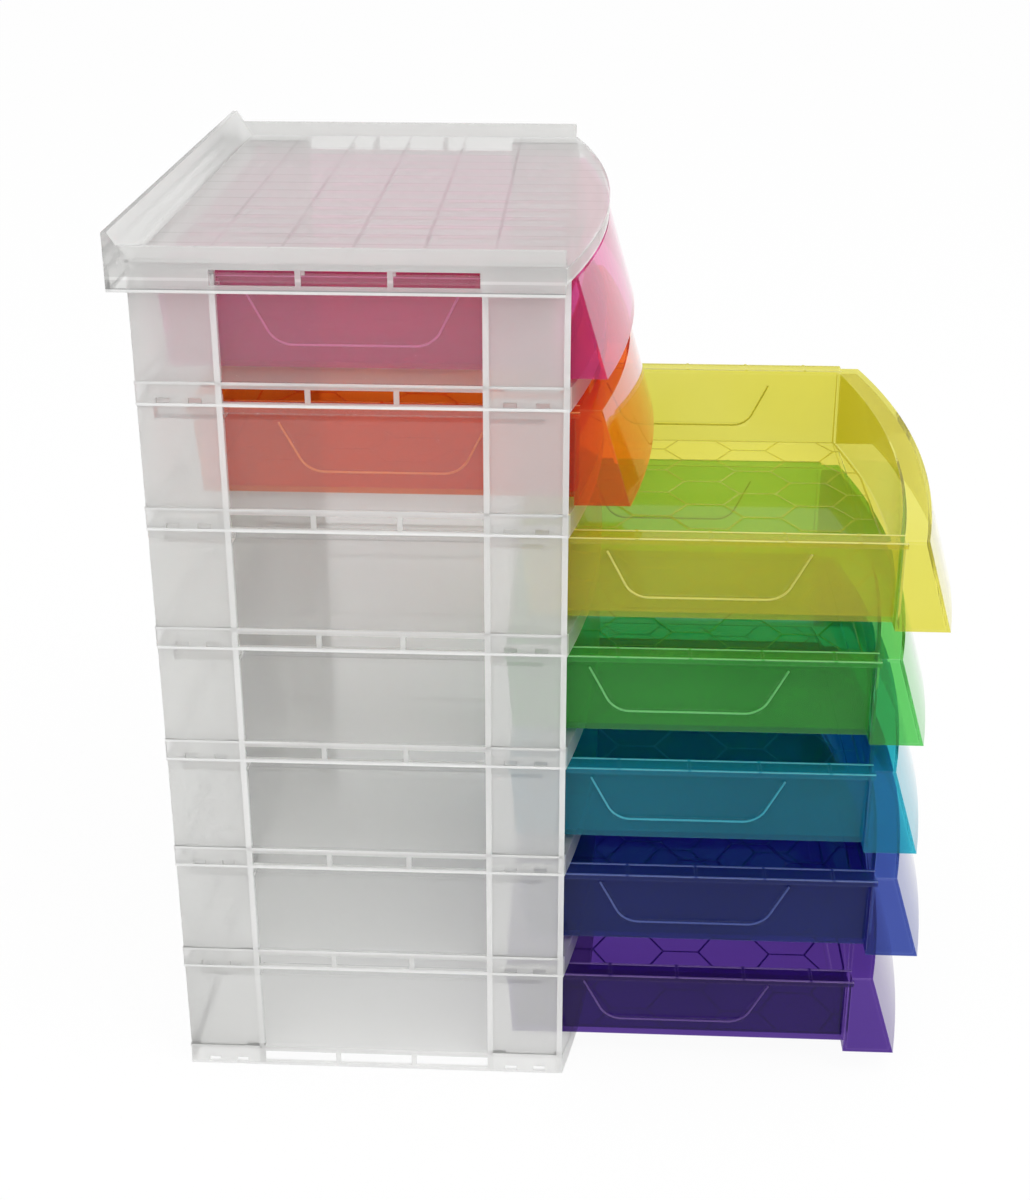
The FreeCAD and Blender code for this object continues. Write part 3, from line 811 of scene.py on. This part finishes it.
    def _floor_ribs(self, low: Vector, high: Vector) -> bpy.types.Object:
        """Model the honeycomb of ribs as one net of bars.

        Args:
            low: The drawer's lowest corner.
            high: The drawer's highest corner.

        Returns:
            The ribs, resting on the floor.
        """
        side = self.hex_across / math.sqrt(3)
        rear = high.y - self.floor_rear
        columns = math.ceil(2 * self.floor_half / self.hex_across) + 2
        rows = math.ceil((self.floor_front - self.floor_rear) / (3 * side)) + 1
        Bench.clear()
        bpy.ops.mesh.primitive_circle_add(
            vertices=6, radius=side, fill_type="NGON",
            location=(-columns * self.hex_across / 2, rear, low.z + self.floor_level))
        piece = bpy.context.object
        piece.name = f"{self.colour.value.body}_floor_ribs"
        piece.data.name = piece.name
        Bench.settle(piece)
        steps = ((columns, (self.hex_across, 0.0, 0.0)), (2, (self.hex_across / 2, -1.5 * side, 0.0)),
                 (rows, (0.0, -3.0 * side, 0.0)))
        for count, step in steps:
            Bench.apply(piece, "ARRAY", count=count, use_relative_offset=False, use_constant_offset=True,
                        constant_offset_displace=step, use_merge_vertices=True,
                        merge_threshold=self.merge_gap)
        self._trim(piece, high.y)
        Bench.apply(piece, "WIREFRAME", thickness=self.rib_width, use_even_offset=True, use_boundary=True)
        bpy.ops.object.mode_set(mode="EDIT")
        bpy.ops.mesh.select_all(action="SELECT")
        base = low.z + self.floor_level
        bpy.ops.transform.resize(value=(1.0, 1.0, self.rib_rise), center_override=(0.0, 0.0, base))
        bpy.ops.transform.translate(value=(0.0, 0.0, self.rib_width * self.rib_rise / 2))
        bpy.ops.mesh.normals_make_consistent(inside=False)
        Bench.clear()
        return piece

    def _trim(self, piece: bpy.types.Object, back: float) -> None:
        """Cut the honeycomb to the floor: straight sides and rear, and the front's bow as three chords.

        Args:
            piece: The honeycomb.
            back: The rear of the drawer along Y.
        """
        front = back - self.floor_front
        lean = Vector((self.bow_drop, -(self.floor_half - self.bow_half), 0.0)).normalized()
        cuts = (((self.floor_half, 0.0, 0.0), (1.0, 0.0, 0.0)),
                ((-self.floor_half, 0.0, 0.0), (-1.0, 0.0, 0.0)),
                ((0.0, back - self.floor_rear, 0.0), (0.0, 1.0, 0.0)),
                ((0.0, front, 0.0), (0.0, -1.0, 0.0)),
                ((self.bow_half, front, 0.0), (lean.x, lean.y, 0.0)),
                ((-self.bow_half, front, 0.0), (-lean.x, lean.y, 0.0)))
        Bench.pick(piece)
        bpy.ops.object.mode_set(mode="EDIT")
        for point, normal in cuts:
            bpy.ops.mesh.select_all(action="SELECT")
            bpy.ops.mesh.bisect(plane_co=point, plane_no=normal, clear_outer=True)
        bpy.ops.mesh.select_all(action="SELECT")
        bpy.ops.mesh.remove_doubles(threshold=self.trim_gap)
        bpy.ops.object.mode_set(mode="OBJECT")


@dataclass
class Studio:
    """White sweep, soft lamps and the camera of the photograph."""
    eye: Place = (-0.7299, -0.0888, 0.5164)
    pitch: float = 0.397
    yaw: float = 0.047
    focal_pixels: float = 1792.0
    frame_height: float = 1200.0
    centre_row: float = 520.0
    sensor_width: float = 36.0
    clear_bounces: int = 48
    diffuse_bounces: int = 6
    sky_light: float = 0.8
    sky_shown: float = 1.0
    floor_size: float = 8.0
    floor_level: float = -0.0005
    floor_grey: Colour = (0.55, 0.55, 0.55)
    floor_glow: float = 1.05
    floor_share: float = 0.9
    key_place: Place = (-0.5, -0.9, 1.6)
    key_power: float = 12.0
    fill_place: Place = (-1.6, 0.5, 0.9)
    fill_power: float = 7.0
    lamp_size: float = 1.4
    lamp_target: Place = (0.0, -0.07, 0.18)

    def build(self) -> None:
        """Set the view transform, light, floor and camera."""
        scene = bpy.context.scene
        scene.view_settings.view_transform = "Standard"
        scene.cycles.max_bounces = self.clear_bounces
        scene.cycles.transmission_bounces = self.clear_bounces
        scene.cycles.diffuse_bounces = self.diffuse_bounces
        self._world()
        self._floor()
        self._lamps()
        self._camera()

    @staticmethod
    def _seen(tree: ShaderTree) -> bpy.types.NodeSocket:
        """Tell the rays that the eye follows from those that only carry light.

        Args:
            tree: The tree to build in.

        Returns:
            1 for a ray straight from the eye or mirrored, else 0.
        """
        path = tree.add("ShaderNodeLightPath")
        return tree.math("MAXIMUM", path.outputs["Is Camera Ray"], path.outputs["Is Glossy Ray"])

    def _world(self) -> None:
        """Make the surroundings plain white."""
        world = bpy.data.worlds.new("white_sweep")
        bpy.context.scene.world = world
        world.use_nodes = True
        tree = ShaderTree(world.node_tree)
        light = tree.add("ShaderNodeBackground", {"Color": WHITE, "Strength": self.sky_light})
        shown = tree.add("ShaderNodeBackground", {"Color": WHITE, "Strength": self.sky_shown})
        seen = self._seen(tree)
        mix = tree.add("ShaderNodeMixShader", {0: seen, 1: light.outputs[0], 2: shown.outputs[0]})
        tree.add("ShaderNodeOutputWorld", {"Surface": mix.outputs[0]})

    def _floor(self) -> None:
        """Lay the pale floor, white to the eye but for a faint shadow."""
        Bench.clear()
        bpy.ops.mesh.primitive_plane_add(size=self.floor_size, location=(0.0, 0.0, self.floor_level))
        floor = bpy.context.object
        floor.name = "studio_floor"
        material = bpy.data.materials.new("studio_white")
        material.use_nodes = True
        tree = ShaderTree(material.node_tree)
        matt = tree.add("ShaderNodeBsdfDiffuse", {"Color": (*self.floor_grey, 1.0)})
        glow = tree.add("ShaderNodeEmission", {"Color": WHITE, "Strength": self.floor_glow})
        share = tree.math("MULTIPLY", self._seen(tree), self.floor_share)
        mix = tree.add("ShaderNodeMixShader", {0: share, 1: matt.outputs[0], 2: glow.outputs[0]})
        tree.add("ShaderNodeOutputMaterial", {"Surface": mix.outputs[0]})
        floor.data.materials.append(material)

    def _lamps(self) -> None:
        """Hang a broad key lamp above and a fill on the camera's side."""
        lamps = (("key", self.key_place, self.key_power), ("fill", self.fill_place, self.fill_power))
        for name, place, power in lamps:
            lamp = bpy.data.lights.new(f"{name}_lamp", "AREA")
            lamp.shape = "DISK"
            lamp.size = self.lamp_size
            lamp.energy = power
            holder = bpy.data.objects.new(f"{name}_lamp", lamp)
            bpy.context.scene.collection.objects.link(holder)
            holder.location = place
            aim = Vector(self.lamp_target) - Vector(place)
            holder.rotation_euler = aim.to_track_quat("-Z", "Y").to_euler()

    def _camera(self) -> None:
        """Set the camera where the photograph was taken."""
        camera = bpy.data.cameras.new("photo_camera")
        camera.sensor_width = self.sensor_width
        camera.lens = self.focal_pixels * camera.sensor_width / self.frame_height
        camera.shift_y = (self.centre_row - self.frame_height / 2) / self.frame_height
        camera.clip_start = 0.01
        camera.clip_end = 50.0
        holder = bpy.data.objects.new("photo_camera", camera)
        bpy.context.scene.collection.objects.link(holder)
        holder.location = self.eye
        holder.rotation_euler = Euler((math.pi / 2 - self.pitch, 0.0, self.yaw - math.pi / 2), "XYZ")
        bpy.context.scene.camera = holder


def main() -> None:
    """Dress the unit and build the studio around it."""
    logging.basicConfig(level=logging.INFO, format="%(name)s: %(message)s")
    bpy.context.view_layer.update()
    plastics = Plastics(MouldedSkin())
    Tower().build(plastics)
    for colour in DrawerColour:
        Drawer(colour).build(plastics)
    Studio().build()
    Bench.clear()


if __name__ == "__main__":
    main()
